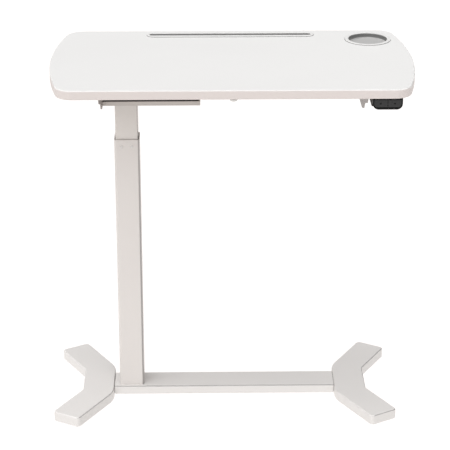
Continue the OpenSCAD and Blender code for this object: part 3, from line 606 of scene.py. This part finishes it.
def cut(piece, cutter):
    """Cuts one shape out of a piece for good."""
    tool_mesh = bpy.data.meshes.new("cutter")
    cutter.to_mesh(tool_mesh)
    cutter.free()
    tool = bpy.data.objects.new("cutter", tool_mesh)
    scene.collection.objects.link(tool)
    step = piece.modifiers.new("pocket", "BOOLEAN")
    step.operation = "DIFFERENCE"
    step.solver = "EXACT"
    step.object = tool
    bpy.context.view_layer.update()
    solved = piece.evaluated_get(bpy.context.evaluated_depsgraph_get())
    done = bpy.data.meshes.new_from_object(solved)
    piece.modifiers.remove(step)
    piece.data = done
    bpy.data.objects.remove(tool)
    bpy.data.meshes.remove(tool_mesh)


top_low, top_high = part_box("edge_band")
top_middle = (top_low + top_high) / 2.0
top_half = (top_high - top_low) / 2.0
outline = [(x + top_middle.x, y + top_middle.y) for x, y in bowed_outline(top_half.x, top_half.y)]
panel = raise_outline(outline, top_low.z, top_high.z)
soften(panel, creases(panel, least=60.0), edge_round, steps=5)
raw = bpy.data.meshes.new("tabletop_panel")
panel.to_mesh(raw)
panel.free()
top = bpy.data.objects.new("tabletop_panel", raw)
scene.collection.objects.link(top)

cup_low, cup_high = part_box("cup_insert")
cup_middle = (cup_low + cup_high) / 2.0
drill_place = (cup_middle.x, cup_middle.y, cup_low.z + pocket_depth / 2.0)
drill = bmesh.new()
bmesh.ops.create_cone(drill, cap_ends=True, segments=round_turns, radius1=cup_wall_r + pocket_gap,
                      radius2=cup_wall_r + pocket_gap, depth=pocket_depth,
                      matrix=Matrix.Translation(drill_place))
cut(top, drill)

slot_low, slot_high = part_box("tablet_slot_insert")
slot_middle = (slot_low + slot_high) / 2.0
slot_outline = pill_outline(slot_wall_half[0] + pocket_gap, slot_wall_half[1] + pocket_gap, slot_middle)
cut(top, raise_outline(slot_outline, slot_low.z, slot_low.z + pocket_depth))

shape = bmesh.new()
shape.from_mesh(top.data)
bpy.data.objects.remove(top)
place_piece(shape, "tabletop_panel", top_white, "lift", ["tabletop_board", "edge_band"])


# ---- Cup well ---------------------------------------------------------------------------
# A moulded plastic dish drops into the round pocket. Its white rim stands a little above the
# top with rounded edges, and a painted shadow darkens the rim's outer side. Inside, a fillet
# leads to its floor, and painted shade darkens it by height, darkest on its wall.

well_shade_bands = ((0.8050, 0.40), (0.8064, 0.44), (0.8085, 0.76), (0.8140, 0.80), (0.8162, 0.62),
              (0.8168, 0.05), (0.8172, 0.0))
cup_plastic_shaded = coated("cup_plastic_shaded", shade(236, 235, 233), shade(241, 240, 238),
                     rough=0.36, grain_scale=1300.0, grain_depth=0.00002, bands=well_shade_bands)
insert_floor = 0.002
rim_r = (cup_high.x - cup_low.x) / 2.0
rim_top = cup_high.z
rim_curve = 0.0012
well_r = 0.044
well_floor = cup_low.z + insert_floor
well_fillet = 0.003
top_z = top_high.z


def curve(centre, radius, start, end, steps=5):
    """Profile points on an arc, with angles in degrees."""
    points = []
    for step in range(steps + 1):
        a = math.radians(start + (end - start) * step / steps)
        points.append((centre[0] + radius * math.cos(a), centre[1] + radius * math.sin(a)))
    return points


profile = [(0.0, cup_low.z), (cup_wall_r, cup_low.z), (cup_wall_r, top_z), (rim_r, top_z)]
profile += curve((rim_r - rim_curve, rim_top - rim_curve), rim_curve, 0, 90)
profile += curve((well_r + rim_curve, rim_top - rim_curve), rim_curve, 90, 180)
profile += curve((well_r - well_fillet, well_floor + well_fillet), well_fillet, 0, -90)
profile += [(0.0, well_floor)]
place_piece(turned(profile, cup_middle, round_turns), "cup_well_dish", cup_plastic_shaded, "lift", ["cup_insert"])


# ---- Tablet slot ------------------------------------------------------------------------
# A long moulded trough with round ends sits in the rear pocket. Its rim is raised and white
# like the cup well's, with a painted shadow on its outer side. Painted shade inside makes its
# walls darker than its floor.

slot_half = (0.186, 0.0075)
slot_shade_bands = ((0.8055, 0.26), (0.8068, 0.30), (0.8085, 0.60), (0.8140, 0.66), (0.8162, 0.62),
              (0.8168, 0.05), (0.8172, 0.0))
slot_plastic_shaded = coated("slot_plastic_shaded", shade(236, 235, 233), shade(241, 240, 238),
                      rough=0.36, grain_scale=1300.0, grain_depth=0.00002, bands=slot_shade_bands)
slot_fillet = 0.0015
rim_half = ((slot_high.x - slot_low.x) / 2.0, (slot_high.y - slot_low.y) / 2.0)
trough_floor = slot_low.z + insert_floor


def rounded_step(half, level, radius, start, end):
    """Half sizes and heights of a pill outline as it goes round an edge."""
    return [(half[0] + out, half[1] + out, level + up)
            for out, up in curve((0.0, 0.0), radius, start, end)]


def ring_of(body, half_l, half_w, z):
    """Corners along a pill outline at one height."""
    return [body.verts.new((x, y, z)) for x, y in pill_outline(half_l, half_w, slot_middle)]


def strake(body, lower, upper):
    """A band of faces between two rings with as many corners. It is laid corner by corner,
    because bridging joins the wrong corners where both rings lie in one plane."""
    for corners in zip(lower, lower[1:] + lower[:1], upper[1:] + upper[:1], upper):
        body.faces.new(corners)


wall_start = [slot_wall_half + (slot_low.z,), slot_wall_half + (top_z,), rim_half + (top_z,)]
rim_outer = (rim_half[0] - rim_curve, rim_half[1] - rim_curve)
rim_inner = (slot_half[0] + rim_curve, slot_half[1] + rim_curve)
floor_edge = (slot_half[0] - slot_fillet, slot_half[1] - slot_fillet)
steps_down = wall_start + rounded_step(rim_outer, rim_top - rim_curve, rim_curve, 0, 90)
steps_down += rounded_step(rim_inner, rim_top - rim_curve, rim_curve, 90, 180)
steps_down += rounded_step(floor_edge, trough_floor + slot_fillet, slot_fillet, 0, -90)
trough = bmesh.new()
rings = [ring_of(trough, half_l, half_w, z) for half_l, half_w, z in steps_down]
for lower, upper in zip(rings, rings[1:]):
    strake(trough, lower, upper)
trough.faces.new(rings[0])
trough.faces.new(rings[-1])
bmesh.ops.recalc_face_normals(trough, faces=trough.faces)
place_piece(trough, "tablet_slot_trough", slot_plastic_shaded, "lift", ["tablet_slot_insert"])


# ---- Cover cap --------------------------------------------------------------------------
# A small domed plastic cap is pressed in under the middle of the front edge, where it
# hides a fixing hole.

cap_turns = 40
cap_skirt = 0.0015
cap_round = 0.0035
under = top_low.z
cap_low, cap_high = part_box("front_cover_cap")
cap_middle = (cap_low + cap_high) / 2.0
cap_r = (cap_high.x - cap_low.x) / 2.0
profile = [(0.0, under), (cap_r, under), (cap_r, under - cap_skirt)]
profile += curve((cap_r - cap_round, under - cap_skirt), cap_round, 0, -90)
profile += [(0.0, cap_low.z)]
place_piece(turned(profile, cap_middle, cap_turns), "front_cap", plug_plastic, "lift", ["front_cover_cap"])


# ---- Wood screws ------------------------------------------------------------------------
# Plated steel screws hold the arms, the handset and the control box up into the board.
# They keep the frame's own shape.

dress("underside_screws", zinc)


# ---- Control box ------------------------------------------------------------------------
# A dark moulded case under the top holds the lacquered circuit board. The power jack faces
# the front, and a lead enters at each end.

for node, radius in (("control_box", 0.0015), ("control_box_lid", 0.0006), ("power_inlet", 0.0004)):
    case = clean_copy(node)
    soften(case, creases(case, least=50.0), radius, steps=3)
    place_piece(case, node + "_case", black_plastic, "lift", [node])
board_green = coated("board_lacquer", shade(22, 84, 48), shade(30, 98, 58),
                     rough=0.3, grain_scale=400.0, grain_depth=0.00002, coat=0.5)
for node in ("control_board", "handset_board"):
    dress(node, board_green)


# ---- Leads and clips --------------------------------------------------------------------
# Two thin black leads join the drive and the handset to the control box. Light moulded
# clips hold the handset's lead against the underside of the top.

lead_r = 0.002
clip_round = 0.0008
mm_in_metre = 1000.0
lead_black = coated("lead_sheath", shade(26, 26, 27), shade(34, 34, 35),
                    rough=0.55, grain_scale=1500.0, grain_depth=0.00002)
handset_route = [
    (324, -156, -5), (324, -146, -5), (324, -136, -5), (324, -126, -5),
    (322, -116, -5), (317, -107, -5), (309, -102, -6), (299, -100, -9), (289, -100, -12),
    (279, -100, -12), (269, -100, -10), (259, -100, -7), (249, -100, -5), (237, -100, -5),
    (225, -100, -5), (213, -100, -5), (201, -100, -5), (189, -100, -5), (177, -100, -5),
    (165, -100, -5), (153, -100, -5), (142, -100, -5), (131, -100, -7), (121, -100, -10),
    (111, -100, -11), (103, -100, -11), (94, -100, -11)]
motor_route = [
    (-76, 0, -50), (-70, 0, -50), (-60, -2, -50), (-52, -8, -50), (-48, -18, -50),
    (-47, -30, -49), (-47, -42, -47), (-47, -54, -42), (-47, -64, -35), (-46, -74, -28),
    (-44, -84, -21), (-40, -92, -16), (-33, -98, -12), (-24, -100, -11), (-14, -100, -11)]
for node, route in (("handset_lead", handset_route), ("motor_lead", motor_route)):
    wire = bpy.data.curves.new(node + "_wire", "CURVE")
    wire.dimensions = "3D"
    wire.bevel_depth = lead_r
    wire.bevel_resolution = 4
    wire.resolution_u = 4
    wire.use_fill_caps = True
    run = wire.splines.new("NURBS")
    run.points.add(len(route) - 1)
    run.order_u = 3
    run.use_endpoint_u = True
    for point, (x, y, z) in zip(run.points, route):
        point.co = (top_middle.x + x / mm_in_metre, top_middle.y + y / mm_in_metre,
                    under + z / mm_in_metre, 1.0)
    holder = bpy.data.objects.new(node + "_wire", wire)
    scene.collection.objects.link(holder)
    bpy.context.view_layer.update()
    swept = holder.evaluated_get(bpy.context.evaluated_depsgraph_get())
    solid = bpy.data.meshes.new_from_object(swept)
    bpy.data.objects.remove(holder)
    lead = bmesh.new()
    lead.from_mesh(solid)
    bmesh.ops.remove_doubles(lead, verts=lead.verts, dist=weld_gap)
    bmesh.ops.recalc_face_normals(lead, faces=lead.faces)
    place_piece(lead, node + "_sheath", lead_black, "lift", [node], sharp=60.0)
clips = clean_copy("lead_clips")
soften(clips, creases(clips, least=50.0), clip_round, steps=2)
place_piece(clips, "lead_clip_saddles", plug_plastic, "lift", ["lead_clips"])


# ---- Handset ----------------------------------------------------------------------------
# A dark moulded housing hangs under the front edge on the right. A thin gloss frame on its
# face holds two satin keys side by side, with an arrow on each.

key_round = 0.0006
arrow_size = 0.0028
arrow_foot = 0.55
arrow_stand = 0.00005
arrow_depth = 0.0004
shell_black = coated("handset_shell", shade(52, 49, 46), shade(60, 57, 54),
                     rough=0.38, grain_scale=900.0, grain_depth=0.00002, marks=0.3, shine=0.25)
gloss_black = coated("handset_gloss", shade(10, 10, 10), shade(15, 15, 15),
                     rough=0.22, grain_scale=700.0, grain_depth=0.00001, marks=0.2, shine=0.15)
key_satin = coated("key_grey", shade(54, 54, 54), shade(60, 60, 60),
                   rough=0.45, grain_scale=1400.0, grain_depth=0.00002, marks=0.4, shine=0.2)
arrow_dark = coated("arrow_print", shade(22, 22, 22), shade(28, 28, 28),
                    rough=0.5, grain_scale=1400.0, grain_depth=0.00001, marks=0.0, shine=0.1)
for node, colour, radius in (("handset_housing", shell_black, 0.0012),
                             ("handset_bezel", gloss_black, 0.0005)):
    shell = clean_copy(node)
    soften(shell, creases(shell, least=50.0), radius, steps=3)
    place_piece(shell, node + "_shell", colour, "lift", [node])
dress("key_switches", black_plastic)
for node, turn in (("up_key", 1.0), ("down_key", -1.0)):
    key_low, key_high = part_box(node)
    key = clean_copy(node)
    front_edges = creases(key, lambda middle: middle.y < key_low.y + touch, least=50.0)
    soften(key, front_edges, key_round, steps=3)
    place_piece(key, node + "_cap", key_satin, node + "_body", [node])
    centre = (key_low + key_high) / 2.0
    foot_z = -arrow_size * arrow_foot * turn
    corners = [(-arrow_size, foot_z), (arrow_size, foot_z), (0.0, arrow_size * turn)]
    arrow = bmesh.new()
    face = arrow.faces.new([arrow.verts.new((centre.x + x, key_low.y - arrow_stand, centre.z + z))
                            for x, z in corners])
    pull_out(arrow, face, (0.0, arrow_depth, 0.0))
    mark = place_piece(arrow, node + "_arrow", arrow_dark, node + "_body")


# ---- Floor ------------------------------------------------------------------------------
# The plain white studio floor that the table stands on, lit evenly from edge to edge.
# It is only a stage and isn't part of the object.

floor_reach = 14.0
floor_drop = 0.0002
floor_glow = 0.99
floor_mesh = bmesh.new()
bmesh.ops.create_grid(floor_mesh, x_segments=1, y_segments=1, size=floor_reach)
floor_data = bpy.data.meshes.new("studio_floor")
floor_mesh.to_mesh(floor_data)
floor_mesh.free()
floor_white = bpy.data.materials.new("studio_floor_white")
floor_white.use_nodes = True
floor_skin = floor_white.node_tree.nodes["Principled BSDF"]
floor_skin.inputs["Base Color"].default_value = (0.12, 0.12, 0.12, 1.0)
floor_skin.inputs["Emission Color"].default_value = (1.0, 0.972, 0.957, 1.0)
floor_skin.inputs["Emission Strength"].default_value = floor_glow
floor_skin.inputs["Specular IOR Level"].default_value = 0.0
floor_skin.inputs["Roughness"].default_value = 0.9
floor_data.materials.append(floor_white)
studio_floor = bpy.data.objects.new("studio_floor", floor_data)
studio_floor.location.z = -floor_drop
scene.collection.objects.link(studio_floor)
